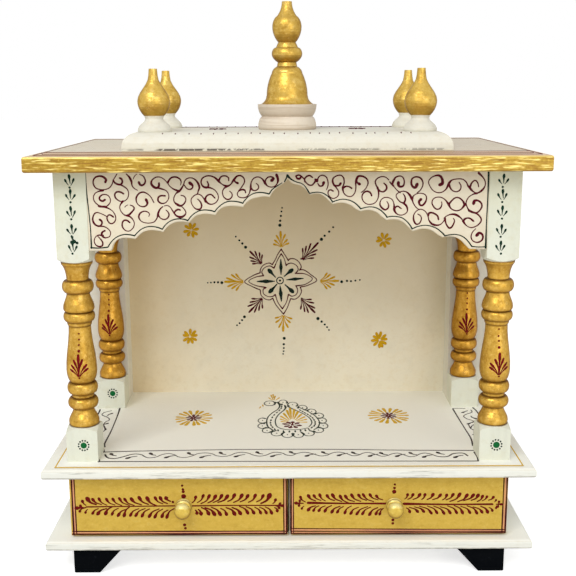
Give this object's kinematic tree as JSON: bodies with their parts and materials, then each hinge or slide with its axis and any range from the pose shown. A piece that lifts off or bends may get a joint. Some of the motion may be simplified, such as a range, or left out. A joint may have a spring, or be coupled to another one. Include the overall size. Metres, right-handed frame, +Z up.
{
  "type": "home temple",
  "caption": "Small wooden home temple: open shrine on turned posts under a flat roof with turned finials, scalloped valance, drawers below and short feet.",
  "frame": {"origin": "middle of the footprint, at the level the feet stand on", "axes": "+X to the right as seen from the front, +Y to the back (the wall side), +Z up"},
  "size_m": [0.457, 0.3228, 0.5322],
  "materials": {
    "cream_paint": "satin cream paint on wood",
    "painted_post": "turned wood, gold shaft between cream blocks",
    "gold_turning": "turned wood in brushed gold paint",
    "gold_paint": "satin gold paint on wood",
    "black_paint": "satin black paint on wood",
    "bare_wood": "plain sanded wood"
  },
  "bodies": {
    "temple": {"foot_front_left": "black_paint", "foot_front_right": "black_paint", "foot_rear_left": "black_paint", "foot_rear_right": "black_paint", "base_plate": "cream_paint", "carcass_side_left": "cream_paint", "carcass_side_right": "cream_paint", "carcass_back": "cream_paint", "carcass_divider": "cream_paint", "floor_board": "cream_paint", "post_front_left": "painted_post", "post_front_right": "painted_post", "post_rear_left": "painted_post", "post_rear_right": "painted_post", "front_valance": "cream_paint", "back_stile_left": "cream_paint", "back_stile_right": "cream_paint", "back_panel": "cream_paint", "roof_board": "cream_paint", "roof_plinth": "cream_paint", "corner_finial_front_left": "gold_turning", "corner_finial_front_right": "gold_turning", "corner_finial_rear_left": "gold_turning", "corner_finial_rear_right": "gold_turning", "centre_finial_base": "cream_paint", "centre_spire": "gold_turning"},
    "drawer_left": {"drawer_left_front": "gold_paint", "drawer_left_sides": "bare_wood", "drawer_left_back": "bare_wood", "drawer_left_bottom": "bare_wood", "drawer_left_knob": "gold_paint"},
    "drawer_right": {"drawer_right_front": "gold_paint", "drawer_right_sides": "bare_wood", "drawer_right_back": "bare_wood", "drawer_right_bottom": "bare_wood", "drawer_right_knob": "gold_paint"}
  },
  "joints": [
    {"name": "drawer_left_slide", "type": "slide", "parent": "temple", "child": "drawer_left", "axis": [0, -1, 0], "range_m": [0, 0.16]},
    {"name": "drawer_right_slide", "type": "slide", "parent": "temple", "child": "drawer_right", "axis": [0, -1, 0], "range_m": [0, 0.16]}
  ]
}
